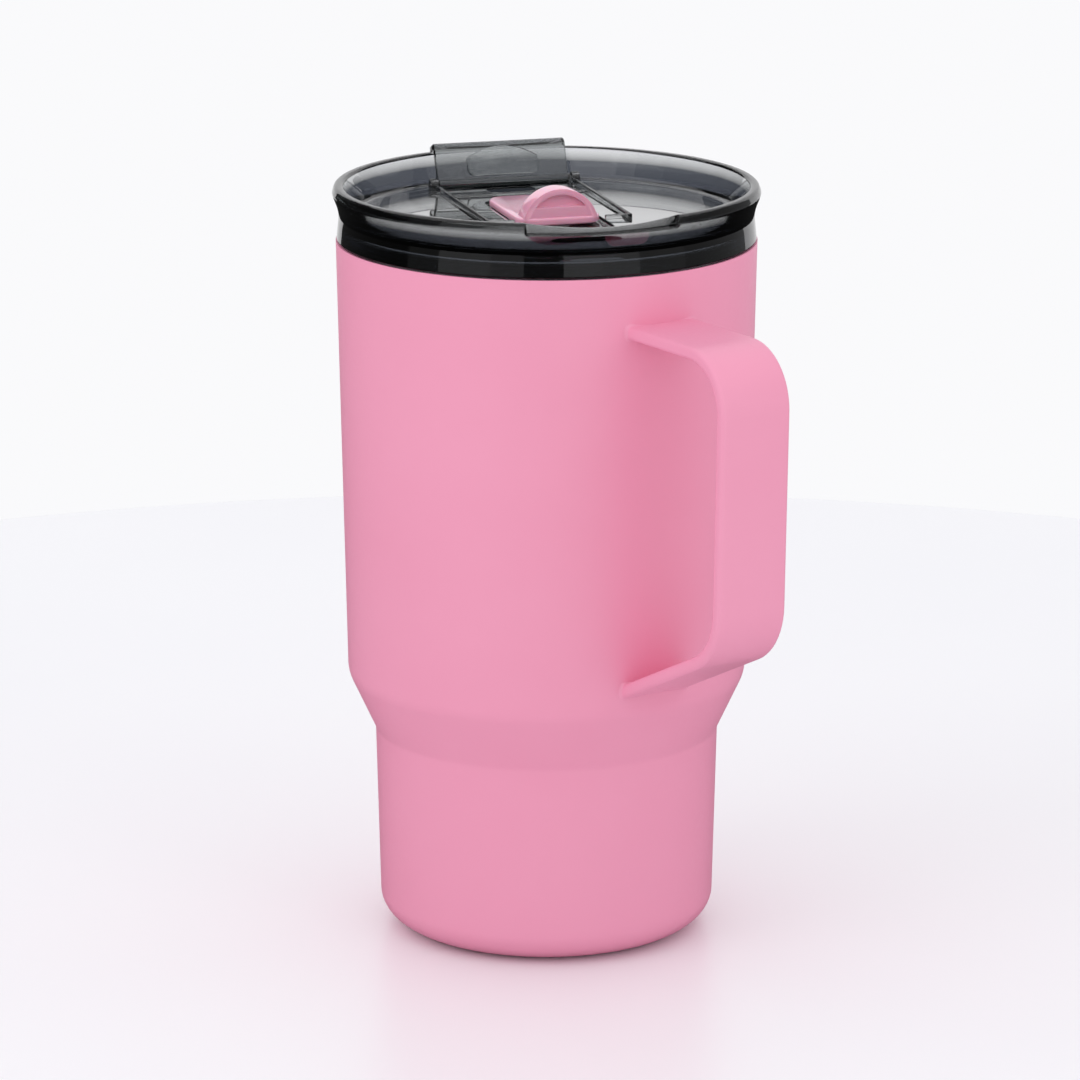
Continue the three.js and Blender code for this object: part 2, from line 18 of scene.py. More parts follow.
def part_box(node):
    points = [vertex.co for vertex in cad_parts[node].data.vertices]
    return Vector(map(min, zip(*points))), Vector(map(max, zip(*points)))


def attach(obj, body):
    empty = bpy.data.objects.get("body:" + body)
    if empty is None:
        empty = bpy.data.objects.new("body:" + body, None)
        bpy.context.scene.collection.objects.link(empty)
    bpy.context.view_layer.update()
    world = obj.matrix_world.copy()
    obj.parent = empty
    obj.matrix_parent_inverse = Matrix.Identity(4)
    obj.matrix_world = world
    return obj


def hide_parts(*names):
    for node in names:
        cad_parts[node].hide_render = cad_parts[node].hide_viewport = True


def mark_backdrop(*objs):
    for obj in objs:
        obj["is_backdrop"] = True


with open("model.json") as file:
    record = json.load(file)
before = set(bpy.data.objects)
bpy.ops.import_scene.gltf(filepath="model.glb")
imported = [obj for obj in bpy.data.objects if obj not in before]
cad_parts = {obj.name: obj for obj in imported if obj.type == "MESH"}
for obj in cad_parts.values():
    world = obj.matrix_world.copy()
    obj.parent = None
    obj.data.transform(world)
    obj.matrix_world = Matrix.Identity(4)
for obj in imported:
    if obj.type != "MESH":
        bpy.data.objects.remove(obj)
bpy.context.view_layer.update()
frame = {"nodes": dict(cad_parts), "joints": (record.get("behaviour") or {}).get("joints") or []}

joints = {joint["name"]: joint for joint in frame["joints"]}
MM = 0.001

# %% [markdown]
# ## Sizes
#
# Heights and radii that a piece shares with its CAD solid are read from the frame. What the frame
# can't tell, such as a corner's radius, is a named value here, in millimetres like a drawing.

# %% Sizes read from the frame
def top_of(node):
    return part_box(node)[1].z / MM


def foot_of(node):
    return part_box(node)[0].z / MM


mug_height = top_of("outer_shell")
rim_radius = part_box("outer_shell")[1].x / MM
crest = top_of("lid_shell")
plug_end = foot_of("lid_shell")
slide_axis = Vector(joints["slider_slide"]["axis"])
lid_turn = math.atan2(slide_axis.y, slide_axis.x)
hinge_place = Vector(joints["flap_hinge"]["pos_m"]) / MM
hinge_position = -math.hypot(hinge_place.x, hinge_place.y)
hinge_height = hinge_place.z
print(f"rim {rim_radius:.2f} at {mug_height:.2f}, crest {crest:.2f}")
print(f"lid turned {math.degrees(lid_turn):.1f} degrees from the handle")

# %% Sizes of the mug's walls
base_radius = 36.5
waist_radius, waist_height, waist_round = 37.4, 44.8, 3.0
shoulder_radius, shoulder_height, shoulder_round = 43.3, 57.5, 7.8
corner_width, corner_rise = 9.9, 7.5
foot_width, flange_rise = 1.6, 2.6
shell_wall, liner_wall, vacuum_gap = 0.6, 0.5, 1.9
liner_floor, liner_corner = 6.2, 8.0
neck_depth, neck_taper = 14.0, 6.0
seam = 0.3

# %% [markdown]
# ## Drawing an outline
#
# Turned and pressed parts are drawn as a corner list with a radius at each corner, the way a
# draughtsman dimensions them. One helper turns the list into a fine polyline, and another moves a
# polyline sideways by a wall's thickness.

# %% Outline helpers
ARC_STEP = math.radians(6)


def rounded(corners, closed=False):
    """Corners are (x, y) or (x, y, radius); every radius becomes an arc of short steps."""
    points = []
    count = len(corners)
    for i, corner in enumerate(corners):
        at = Vector(corner[:2])
        radius = corner[2] if len(corner) > 2 else 0
        if radius == 0 or (not closed and i in (0, count - 1)):
            points.append(at)
            continue
        before = Vector(corners[i - 1][:2]) - at
        after = Vector(corners[(i + 1) % count][:2]) - at
        half = before.angle(after) / 2
        reach = min(radius / math.tan(half), 0.49 * before.length, 0.49 * after.length)
        used = reach * math.tan(half)
        start = at + before.normalized() * reach
        middle = (before.normalized() + after.normalized()).normalized()
        center = at + middle * used / math.sin(half)
        turn = math.pi - 2 * half
        sweep = -math.copysign(turn, before.x * after.y - before.y * after.x)
        steps = max(2, math.ceil(turn / ARC_STEP))
        for k in range(steps + 1):
            spoke = (start - center).copy()
            spoke.rotate(Matrix.Rotation(sweep * k / steps, 2))
            points.append(center + spoke)
    return points


def offset(points, distance):
    """The polyline moved to its left."""
    normals = []
    for a, b in zip(points, points[1:]):
        along = (b - a).normalized()
        normals.append(Vector((-along.y, along.x)))
    moved = []
    for i, point in enumerate(points):
        a = normals[max(i - 1, 0)]
        b = normals[min(i, len(normals) - 1)]
        middle = (a + b).normalized()
        moved.append(point + middle * distance / middle.dot(a))
    return moved


def ellipse_quarter(center_x, center_y, width, height, steps=14):
    """From the lowest point round to the outermost one."""
    turns = [-math.pi / 2 + math.pi / 2 * k / steps for k in range(steps + 1)]
    return [Vector((center_x + width * math.cos(t), center_y + height * math.sin(t))) for t in turns]


# %% [markdown]
# ## Turning a piece on the axis
#
# The walls, the lid's blank, the gasket and the pads are all bodies of revolution. A Screw
# modifier or bmesh's spin would do it, but a small Geometry Nodes tree states the rule once: take
# a half outline, sweep it round a circle, weld the seam and the poles, and set the material. The
# circle's radius only has to be larger than nothing, so the outline is drawn relative to it.

# %% The turning tree
SWEEP_RADIUS = 10 * MM
WELD_DISTANCE = 0.002 * MM


def wire(tree, nodes, *links):
    """Each link is (node, output, node, input)."""
    for source, output, target, socket in links:
        tree.links.new(nodes[source].outputs[output], nodes[target].inputs[socket])


def new_tree(name, inputs, kinds):
    """A tree with named inputs that ends by making its instances real and giving the material."""
    tree = bpy.data.node_groups.new(name, "GeometryNodeTree")
    tree.interface.new_socket("Geometry", in_out="OUTPUT", socket_type="NodeSocketGeometry")
    for title, kind in (inputs | {"Finish": "Material"}).items():
        tree.interface.new_socket(title, in_out="INPUT", socket_type="NodeSocket" + kind)
    nodes = {"given": tree.nodes.new("NodeGroupInput"), "made": tree.nodes.new("NodeGroupOutput")}
    for title, kind in (kinds | {"real": "RealizeInstances", "paint": "SetMaterial"}).items():
        nodes[title] = tree.nodes.new("GeometryNode" + kind)
    wire(tree, nodes, ("real", "Geometry", "paint", "Geometry"),
         ("given", "Finish", "paint", "Material"), ("paint", "Geometry", "made", "Geometry"))
    return tree, nodes


def turning_tree():
    tree, nodes = new_tree(
        "turn_outline", {"Geometry": "Geometry", "Steps": "Int"},
        {"outline": "MeshToCurve", "circle": "CurvePrimitiveCircle", "upright": "SetCurveNormal",
         "sweep": "CurveToMesh", "weld": "MergeByDistance"})
    nodes["circle"].inputs["Radius"].default_value = SWEEP_RADIUS
    nodes["upright"].mode = "Z_UP"
    nodes["weld"].inputs["Distance"].default_value = WELD_DISTANCE
    wire(tree, nodes,
         ("given", "Geometry", "outline", "Mesh"),
         ("given", "Steps", "circle", "Resolution"),
         ("circle", "Curve", "upright", "Curve"),
         ("upright", "Curve", "sweep", "Curve"),
         ("outline", "Curve", "sweep", "Profile Curve"),
         ("sweep", "Mesh", "weld", "Geometry"),
         ("weld", "Geometry", "real", "Geometry"))
    return tree


TURN = turning_tree()
print("turning tree has", len(TURN.nodes), "nodes")

# %% [markdown]
# ## From a tree or a modifier to a plain mesh
#
# Every piece ends as a plain mesh at the origin. The evaluated object gives its mesh away, the
# modifiers go, and the winding is checked with the signed volume, so that faces point outwards.

# %% Mesh helpers
def new_object(name, data):
    thing = bpy.data.objects.new(name, data)
    bpy.context.scene.collection.objects.link(thing)
    return thing


def bake(thing):
    """Replaces the object's mesh with its evaluated one and removes its modifiers."""
    bpy.context.view_layer.update()
    graph = bpy.context.evaluated_depsgraph_get()
    mesh = bpy.data.meshes.new_from_object(thing.evaluated_get(graph))
    mesh.name = thing.name
    thing.modifiers.clear()
    thing.data = mesh
    return thing


def rework(mesh, change):
    """Opens the mesh as a bmesh, lets the function change it and writes it back."""
    work = bmesh.new()
    work.from_mesh(mesh)
    change(work)
    work.to_mesh(mesh)
    work.free()


def face_outwards(thing):
    def turn_round(work):
        if work.calc_volume(signed=True) < 0:
            bmesh.ops.reverse_faces(work, faces=work.faces)
    rework(thing.data, turn_round)
    return thing


def soften(thing, sharp_above=38):
    """Smooth shading, broken where two faces meet at more than this angle in degrees."""
    thing.data.polygons.foreach_set("use_smooth", [True] * len(thing.data.polygons))
    thing.data.set_sharp_from_angle(angle=math.radians(sharp_above))
    return thing


def socket_of(tree, name):
    found = [item for item in tree.interface.items_tree if item.name == name and item.in_out == "INPUT"]
    return found[0].identifier


def turned(name, points, steps=192, finish=None):
    """A body of revolution from an outline in millimetres, closed or ending on the axis."""
    mesh = bpy.data.meshes.new(name)
    closed = points[0].x > 0 or points[-1].x > 0
    # The sweep adds the circle's own radius to the outline's X, and turns its Y downwards.
    places = [(point.x * MM - SWEEP_RADIUS, -point.y * MM, 0) for point in points]
    edges = [(i, i + 1) for i in range(len(points) - 1)]
    mesh.from_pydata(places, edges + ([(len(points) - 1, 0)] if closed else []), [])
    thing = new_object(name, mesh)
    modifier = thing.modifiers.new("turn", "NODES")
    modifier.node_group = TURN
    modifier[socket_of(TURN, "Steps")] = steps
    modifier[socket_of(TURN, "Finish")] = finish
    return face_outwards(bake(thing))


def prism(name, points, low, high, along="Z"):
    """An outline pushed along an axis. Its plane is XY along Z, XZ along Y and YZ along X."""
    place = {
        "Z": lambda u, v, w: (u, v, w),
        "Y": lambda u, v, w: (u, w, v),
        "X": lambda u, v, w: (w, u, v),
    }[along]
    count = len(points)
    corners = [Vector(place(*p, w)) * MM for w in (low, high) for p in points]
    sides = [(i, (i + 1) % count, count + (i + 1) % count, count + i) for i in range(count)]
    mesh = bpy.data.meshes.new(name)
    mesh.from_pydata(corners, [], [tuple(range(count)), tuple(range(count, 2 * count))[::-1], *sides])
    rework(mesh, lambda work: bmesh.ops.recalc_face_normals(work, faces=work.faces))
    return face_outwards(new_object(name, mesh))


def block(name, x0, x1, y0, y1, z0, z1):
    return prism(name, [(x0, y0), (x1, y0), (x1, y1), (x0, y1)], z0, z1)


def around(radius, steps, x=0, y=0):
    """Points on a circle."""
    turns = [math.tau * k / steps for k in range(steps)]
    return [(x + radius * math.cos(t), y + radius * math.sin(t)) for t in turns]


def arc(radius, start, end, steps, x=0, y=0):
    """Points on an arc, its ends included; the angles are in radians."""
    turns = [start + (end - start) * k / steps for k in range(steps + 1)]
    return [(x + radius * math.cos(t), y + radius * math.sin(t)) for t in turns]


def round_bar(name, radius, low, high, x=0, z=0):
    """A bar along Y."""
    return prism(name, around(radius, 48, x, z), low, high, "Y")


def plate_outline(back, front, half, radius):
    """A rectangle with round corners, even about the X axis."""
    corners = ((back, -half), (front, -half), (front, half), (back, half))
    return rounded([(x, y, radius) for x, y in corners], True)


def combine(base, operation, *tools):
    """Joins the tools to the base, or cuts them out of it, with Blender's manifold solver."""
    for tool in tools:
        modifier = base.modifiers.new(operation.lower(), "BOOLEAN")
        modifier.operation = operation
        modifier.solver = "MANIFOLD"
        modifier.object = tool
        bake(base)
        bpy.data.objects.remove(tool)
    return base


def ease_edges(thing, width, segments=3, above=35):
    """A small radius on every edge sharper than the angle, as a mould or a press leaves it."""
    modifier = thing.modifiers.new("ease", "BEVEL")
    modifier.width = width * MM
    modifier.segments = segments
    modifier.limit_method = "ANGLE"
    modifier.angle_limit = math.radians(above)
    modifier.miter_outer = "MITER_ARC"
    modifier.harden_normals = False
    return bake(thing)


def place(thing, *moves):
    """Moves the mesh itself, so that the object stays at the origin."""
    for move in moves:
        thing.data.transform(move)
    return thing


def hand_over(thing, body, slot, finish, *nodes):
    """The finished piece gets its material, rides on its body and stands for its CAD nodes."""
    thing.data.materials.clear()
    thing.data.materials.append(finish)
    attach(thing, body)
    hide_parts(*nodes)
    print(f"{thing.name}: {len(thing.data.polygons)} faces on {body}")
    return thing


# %% [markdown]
# ## Finishes
#
# Each finish is a procedural material in Object coordinates, so its grain has a real size in
# metres and the same scale on every piece. The colours start from the finish itself: what the
# piece reflects under a white light. Numbers that are the same all over are set on the shader.

# %% A short way to write node trees
class Recipe:
    """A new material with a Principled shader, and helpers for adding nodes to it."""

    def __init__(self, name):
        self.material = bpy.data.materials.new(name)
        self.material.use_nodes = True
        self.tree = self.material.node_tree
        self.shader = self.tree.nodes["Principled BSDF"]
        self.output = self.tree.nodes["Material Output"]
        self.coordinates = self.tree.nodes.new("ShaderNodeTexCoord").outputs["Object"]

    def set(self, **values):
        for name, value in values.items():
            self.shader.inputs[name.replace("_", " ")].default_value = value
        return self

    def noise(self, scale, detail=2.0, roughness=0.5, vector=None):
        node = self.tree.nodes.new("ShaderNodeTexNoise")
        node.inputs["Scale"].default_value = scale
        node.inputs["Detail"].default_value = detail
        node.inputs["Roughness"].default_value = roughness
        self.tree.links.new(vector or self.coordinates, node.inputs["Vector"])
        return node.outputs["Fac"]

    def carried(self, name):
        """A value that the mesh itself carries."""
        node = self.tree.nodes.new("ShaderNodeAttribute")
        node.attribute_name = name
        return node.outputs["Fac"]

    def stretch(self, scale):
        node = self.tree.nodes.new("ShaderNodeMapping")
        node.inputs["Scale"].default_value = scale
        self.tree.links.new(self.coordinates, node.inputs["Vector"])
        return node.outputs["Vector"]

    def span(self, value, low, high):
        node = self.tree.nodes.new("ShaderNodeMapRange")
        node.inputs["From Min"].default_value = 0.3
        node.inputs["From Max"].default_value = 0.7
        node.inputs["To Min"].default_value = low
        node.inputs["To Max"].default_value = high
        self.tree.links.new(value, node.inputs["Value"])
        return node.outputs["Result"]

    def blend(self, value, first, second):
        """Mixes two tones, each a colour or another node's output."""
        node = self.tree.nodes.new("ShaderNodeMix")
        node.data_type = "RGBA"
        self.tree.links.new(value, node.inputs[0])
        for socket, tone in ((6, first), (7, second)):
            if isinstance(tone, tuple):
                node.inputs[socket].default_value = (*tone, 1)
            else:
                self.tree.links.new(tone, node.inputs[socket])
        return node.outputs[2]

    def color(self, value, first, second):
        """The base colour wanders between two close tones."""
        return self.feed("Base Color", self.blend(self.span(value, 0, 1), first, second))

    def bump(self, value, height, strength=1.0, after=None):
        node = self.tree.nodes.new("ShaderNodeBump")
        node.inputs["Strength"].default_value = strength
        node.inputs["Distance"].default_value = height * MM
        self.tree.links.new(value, node.inputs["Height"])
        if after is not None:
            self.tree.links.new(after, node.inputs["Normal"])
        return node.outputs["Normal"]

    def feed(self, name, value):
        self.tree.links.new(value, self.shader.inputs[name])
        return self


# %% Satin powder coat
def powder_coat():
    recipe = Recipe("satin_powder_coat")
    recipe.set(Roughness=0.42, IOR=1.5)
    recipe.color(recipe.noise(28, 3), (0.885, 0.330, 0.485), (0.900, 0.345, 0.502))
    recipe.feed("Roughness", recipe.span(recipe.noise(900, 2), 0.38, 0.47))
    peel = recipe.bump(recipe.noise(700, 2, 0.55), 0.035, 0.5)
    recipe.feed("Normal", recipe.bump(recipe.noise(3200, 2, 0.6), 0.012, 0.6, peel))
    return recipe.material


# %% [markdown]
# ### Smoke plastic
#
# The tint is in the plastic, so a volume absorbs light along the way through it: a thin wall is
# pale and a thick one dark. The flip cover is moulded in a darker batch than the lid. Two values
# that the lid's mesh carries do what its thickness can't. The first is painted shade: it darkens
# the band, the rails and the underside, which look black on the real lid, and stands in for the
# dark seen through them and reflected in them. The second, `polish`, adds a coat to the deck.

# %% Smoke plastic, tinted through its whole thickness
LID_DENSITY, COVER_DENSITY = 95.0, 350.0
# The near-black colour that painted shade blends the lid's base colour towards.
PAINTED_SHADE_COLOR = (0.012, 0.014, 0.02)


def smoke(name, density):
    recipe = Recipe(name)
    recipe.set(Roughness=0.02, IOR=1.55, Transmission_Weight=1.0, Coat_IOR=1.8,
               Coat_Roughness=0.015)
    recipe.feed("Coat Weight", recipe.carried("polish"))
    clear = recipe.blend(recipe.span(recipe.noise(60, 2), 0, 1), (0.97, 0.98, 0.985),
                         (0.985, 0.99, 0.99))
    # Painted shade: the base colour goes from clear towards near black where the mesh marks it.
    recipe.feed("Base Color", recipe.blend(recipe.carried("painted_shade"), clear, PAINTED_SHADE_COLOR))
    recipe.feed("Roughness", recipe.span(recipe.noise(420, 3), 0.01, 0.045))
    recipe.feed("Normal", recipe.bump(recipe.noise(55, 1, 0.4), 0.03, 0.35))
    tint = recipe.tree.nodes.new("ShaderNodeVolumeAbsorption")
    tint.inputs["Color"].default_value = (0.05, 0.085, 0.09, 1)
    tint.inputs["Density"].default_value = density
    recipe.tree.links.new(tint.outputs["Volume"], recipe.output.inputs["Volume"])
    return recipe.material


# %% Gloss pink plastic
def gloss_pink():
    recipe = Recipe("gloss_pink_plastic")
    recipe.set(Roughness=0.13, IOR=1.5, Subsurface_Weight=0.25, Subsurface_Scale=0.002,
               Coat_Weight=0.6, Coat_Roughness=0.03)
    recipe.color(recipe.noise(120, 2), (0.93, 0.43, 0.585), (0.945, 0.45, 0.605))
    recipe.feed("Roughness", recipe.span(recipe.noise(1500, 2), 0.10, 0.18))
    recipe.feed("Normal", recipe.bump(recipe.noise(260, 2, 0.5), 0.02, 0.35))
    return recipe.material


# %% Brushed steel, its lines running round the wall
def brushed_steel():
    recipe = Recipe("brushed_steel")
    recipe.set(Metallic=1.0, Roughness=0.3, Anisotropic=0.6)
    lines = recipe.noise(1.0, 3, 0.6, recipe.stretch((25, 25, 5200)))
    recipe.color(lines, (0.66, 0.66, 0.65), (0.76, 0.76, 0.75))
    recipe.feed("Roughness", recipe.span(lines, 0.22, 0.36))
    recipe.feed("Normal", recipe.bump(lines, 0.006, 0.6))
    return recipe.material


# %% Clear silicone, for the thin seal under the flip cover
def clear_silicone():
    recipe = Recipe("clear_silicone_skin")
    recipe.set(Roughness=0.03, IOR=1.41, Transmission_Weight=1.0)
    recipe.color(recipe.noise(300, 2), (0.86, 0.88, 0.88), (0.92, 0.93, 0.93))
    recipe.feed("Normal", recipe.bump(recipe.noise(1500, 2), 0.006, 0.5))
    return recipe.material


# %% Milky silicone
def silicone():
    recipe = Recipe("milky_silicone")
    recipe.set(Roughness=0.48, IOR=1.42, Subsurface_Weight=0.35, Subsurface_Scale=0.002)
    recipe.color(recipe.noise(200, 2), (0.66, 0.67, 0.68), (0.72, 0.73, 0.74))
    recipe.feed("Roughness", recipe.span(recipe.noise(1800, 2), 0.42, 0.56))
    recipe.feed("Normal", recipe.bump(recipe.noise(2400, 2), 0.01, 0.5))
    return recipe.material


# %% Finishes with one grain, such as crumpled foil
def grained(name, grain, tones, relief, **settings):
    """One noise drives both the tone and the relief, as in creases or pores."""
    recipe = Recipe(name).set(**settings)
    pattern = recipe.noise(*grain)
    recipe.color(pattern, *tones)
    return recipe.feed("Normal", recipe.bump(pattern, *relief)).material


# %% The finishes
COAT, PINK = powder_coat(), gloss_pink()
SMOKE = smoke("smoke_tinted_plastic", LID_DENSITY)
COVER_SMOKE = smoke("smoke_tinted_cover", COVER_DENSITY)
STEEL, MILKY, CLEAR = brushed_steel(), silicone(), clear_silicone()
print("finishes:", [m.name for m in bpy.data.materials])

# %% [markdown]
# ## The outer wall
#
# The outer wall is a steel tube, spun so that its lower third drops into a car's cup holder, with
# a large radius at the shoulder and an elliptical corner down to a narrow foot ring. It is turned
# from one outline with its wall thickness, so its mouth and its flange are really thin.

# %% Outer wall
corner_center = base_radius - corner_width
flange_radius = corner_center - foot_width


def wall_radius(z):
    """Outside radius of the tall upper wall at a height."""
    share = (z - shoulder_height) / (mug_height - shoulder_height)
    return shoulder_radius + (rim_radius - shoulder_radius) * share


WALL = ((base_radius, corner_rise), (waist_radius, waist_height),
        (shoulder_radius, shoulder_height), (rim_radius, mug_height))


def outer_wall():
    flange = rounded([(flange_radius, flange_rise), (flange_radius, 0, 0.6), (corner_center, 0)])
    wall = rounded([(*at, radius) for at, radius in zip(WALL, (0, waist_round, shoulder_round, 0))])
    corner = ellipse_quarter(corner_center, corner_rise, corner_width, corner_rise)
    outside = flange[:-1] + corner + wall[1:]
    inside = offset(outside, shell_wall)
    inside[0].y = flange_rise
    inside[-1].y = mug_height
    return soften(turned("outer_wall", outside + inside[::-1], 256, COAT), 30)


hand_over(outer_wall(), "mug", "powder_coat", COAT, "outer_shell")

# %% [markdown]
# ## The steel liner
#
# The vessel that holds the drink keeps an even gap to the outer wall and opens into a straight
# neck for the lid's plug. Seen through the lid and with the lid off, it is brushed steel.

# %% Liner
neck_outer = rim_radius - shell_wall - seam
neck_inner = neck_outer - liner_wall
neck_foot = mug_height - neck_depth


def steel_liner():
    low, waist, shoulder, rim = offset([Vector(at) for at in WALL], shell_wall + vacuum_gap)
    top_height = neck_foot - neck_taper
    share = (top_height - shoulder.y) / (rim.y - shoulder.y)
    top_radius = shoulder.x + (rim.x - shoulder.x) * share
    outside = rounded([
        (0, liner_floor), (low.x, liner_floor, liner_corner), (*waist, 4), (*shoulder, 6),
        (top_radius, top_height, 4), (neck_outer, neck_foot, 4), (neck_outer, mug_height),
    ])
    inside = offset(outside, liner_wall)
    inside[0].x = 0
    return soften(turned("steel_liner", outside + inside[::-1], 192, STEEL), 30)


hand_over(steel_liner(), "mug", "liner_steel", STEEL, "inner_liner")

# %% [markdown]
# ## The handle
#
# The handle is one steel strap of even width, bent twice and welded on edge to edge; the powder
# coat runs over the weld and leaves a small hollow fillet. A curve with a bevel would give the
# strap but not the fillet, so the section is carried along the path ring by ring, and the last
# rings at each end are pushed outwards and laid onto the wall.

# %% Handle
strap_width, strap_thickness, strap_edge = 16.9, 2.8, 1.0
strap_reach, strap_lean = 79.9, math.radians(1.4)
strap_top = top_of("handle_strap")
top_bend, low_bend = 13.0, 15.0
strap_foot, strap_slope = 61.7, math.radians(25)
weld_radius = 0.7
wall_touch = 0.03  # the end ring's distance from the wall
start_inside = 6.0  # how far inside the rim the middle line starts
tries = 8  # steps that bring a point onto the curved wall


def strap_section():
    """Places across the strap (y, v) with the way outwards at each, going once round."""
    half_w, half_t = strap_width / 2, strap_thickness / 2
    section = []
    for quarter, (sy, sv) in enumerate(((1, 1), (-1, 1), (-1, -1), (1, -1))):
        for k in range(6):
            turn = math.pi / 2 * (quarter + k / 5)
            out = Vector((math.cos(turn), math.sin(turn)))
            corner = Vector((sy * (half_w - strap_edge), sv * (half_t - strap_edge)))
            section.append((corner + out * strap_edge, out))
    return section


def strap_path():
    """Middle line of the strap in X and Z, from the upper end to the lower one."""
    start = rim_radius - start_inside
    low_start = strap_foot - (shoulder_radius - start) * math.tan(strap_slope)
    def grip(z):
        return strap_reach - (strap_top - top_bend - z) * math.tan(strap_lean)
    run = grip(strap_foot) - start
    rise = run * math.tan(strap_slope) / (1 - math.tan(strap_slope) * math.tan(strap_lean))
    low_corner = low_start + rise
    outer = [Vector((start, strap_top)), Vector((grip(strap_top), strap_top)),
             Vector((grip(low_corner), low_corner)), Vector((start, low_start))]
    middle = offset(outer, -strap_thickness / 2)
    bends = [0, top_bend - strap_thickness / 2, low_bend - strap_thickness / 2, 0]
    return rounded([(p.x, p.y, r) for p, r in zip(middle, bends)])


def strap():
    path = strap_path()
    section = strap_section()
    rings = []

    def straight_ring(at, along):
        across = Vector((-along.y, along.x))
        rings.append([Vector((at.x + across.x * v, y, at.y + across.y * v))
                      for (y, v), _ in section])

    def weld_rings(at, along, order):
        """Rings laid round the wall at falling distances, each flared a little wider."""
        across = Vector((-along.y, along.x))
        for part in order:
            away = weld_radius * part
            flare = weld_radius - math.sqrt(weld_radius ** 2 - (weld_radius - away) ** 2)
            ring = []
            for (y, v), out in section:
                y2, v2 = y + out.x * flare, v + out.y * flare
                x, z = at.x + across.x * v2, at.y + across.y * v2
                for _ in range(tries):
                    wall = math.sqrt(wall_radius(z) ** 2 - y2 ** 2) + wall_touch
                    step = (wall + away - x) / along.x
                    x, z = x + along.x * step, z + along.y * step
                ring.append(Vector((x, y2, z)))
            rings.append(ring)

    shares = [0.0, 0.06, 0.2, 0.42, 0.7, 1.0]
    first, last = (path[1] - path[0]).normalized(), (path[-1] - path[-2]).normalized()
    weld_rings(path[0], first, shares)
    for i in range(1, len(path) - 1):
        along = (path[i + 1] - path[i - 1]).normalized()
        straight_ring(path[i], along)
    weld_rings(path[-1], last, shares[::-1])
    count = len(section)
    places = [p * MM for ring in rings for p in ring]
    faces = [tuple(range(count)), tuple(range((len(rings) - 1) * count, len(rings) * count))[::-1]]
    for r in range(len(rings) - 1):
        for k in range(count):
            a, b = r * count + k, r * count + (k + 1) % count
            faces.append((a, a + count, b + count, b))
    mesh = bpy.data.meshes.new("strap_handle")
    mesh.from_pydata(places, [], faces)

    def clean(work):
        bmesh.ops.remove_doubles(work, verts=work.verts, dist=WELD_DISTANCE / 2)
        bmesh.ops.recalc_face_normals(work, faces=work.faces)

    rework(mesh, clean)
    return soften(face_outwards(new_object("strap_handle", mesh)), 40)


hand_over(strap(), "mug", "powder_coat", COAT, "handle_strap")

# %% [markdown]
# ## The underside
#
# A thin disc with a dimple closes the outer wall, and a silicone pad covers it, flush with the
# foot ring. The pad is moulded with rings of small round studs so that it grips. The studs repeat,
# so a Geometry Nodes tree places them: it spaces points on each ring, sets a stud on every point
# and makes the instances real.

# %% Base disc and plain pad
disc_height, disc_thickness = foot_of("base_disc"), 0.6
dimple_radius, dimple_depth = 7.0, 1.0
pad_top = top_of("base_pad")
pad_edge = flange_radius - seam
stud_radius, stud_height, stud_sides = 0.55, 0.45, 12
stud_root = 0.1  # how far a stud reaches into the pad
ring_gap = 2.6


def base_disc():
    raised = disc_height + dimple_depth
    underside = rounded([(0, raised), (dimple_radius - 1, raised, 1),
                         (dimple_radius, disc_height, 1), (flange_radius - 0.05, disc_height)])
    topside = [point + Vector((0, disc_thickness)) for point in underside]
    return soften(turned("base_disc_fine", underside + topside[::-1], 128, COAT))


def plain_pad():
    """The pad's skin lies a stud's height above the table and its rim reaches down to it."""
    skin = stud_height
    return turned("non_slip_pad", rounded([
        (0, skin), (pad_edge - 1.6, skin, 0.3), (pad_edge - 1.4, 0, 0.15), (pad_edge - 0.3, 0, 0.2),
        (pad_edge, 0.3, 0.2), (pad_edge, pad_top), (0, pad_top)]), 160, MILKY)


# %% The stud tree
def stud_tree():
    tree, nodes = new_tree(
        "stud_ring", {"Ring Radius": "Float", "Count": "Int", "Stud Radius": "Float",
                      "Stud Height": "Float"},
        {"ring": "MeshCircle", "stud": "MeshCylinder", "spread": "InstanceOnPoints"})
    nodes["stud"].inputs["Vertices"].default_value = stud_sides
    wire(tree, nodes,
         ("given", "Ring Radius", "ring", "Radius"),
         ("given", "Count", "ring", "Vertices"),
         ("given", "Stud Radius", "stud", "Radius"),
         ("given", "Stud Height", "stud", "Depth"),
         ("ring", "Mesh", "spread", "Points"),
         ("stud", "Mesh", "spread", "Instance"),
         ("spread", "Instances", "real", "Geometry"))
    return tree


def stud_ring(tree, radius):
    thing = new_object(f"studs_{radius:.0f}", bpy.data.meshes.new("studs"))
    modifier = thing.modifiers.new("studs", "NODES")
    modifier.node_group = tree
    height = (stud_height + stud_root) * MM
    sizes = {"Ring Radius": radius * MM, "Count": max(6, round(math.tau * radius / ring_gap)),
             "Stud Radius": stud_radius * MM, "Stud Height": height, "Finish": MILKY}
    for name, value in sizes.items():
        modifier[socket_of(tree, name)] = value
    return place(bake(thing), Matrix.Translation((0, 0, height / 2)))


def join_meshes(name, *things):
    """One mesh from several closed ones that are moulded together."""
    work = bmesh.new()
    for thing in things:
        work.from_mesh(thing.data)
        bpy.data.objects.remove(thing)
    mesh = bpy.data.meshes.new(name)
    work.to_mesh(mesh)
    work.free()
    return new_object(name, mesh)


STUDS = stud_tree()
rings = [stud_ring(STUDS, ring_gap * k) for k in range(1, int((pad_edge - 2.5) / ring_gap) + 1)]
hand_over(base_disc(), "mug", "powder_coat", COAT, "base_disc")
hand_over(soften(join_meshes("non_slip_pad_studded", plain_pad(), *rings)), "mug", "clear_silicone",
          MILKY, "base_pad")

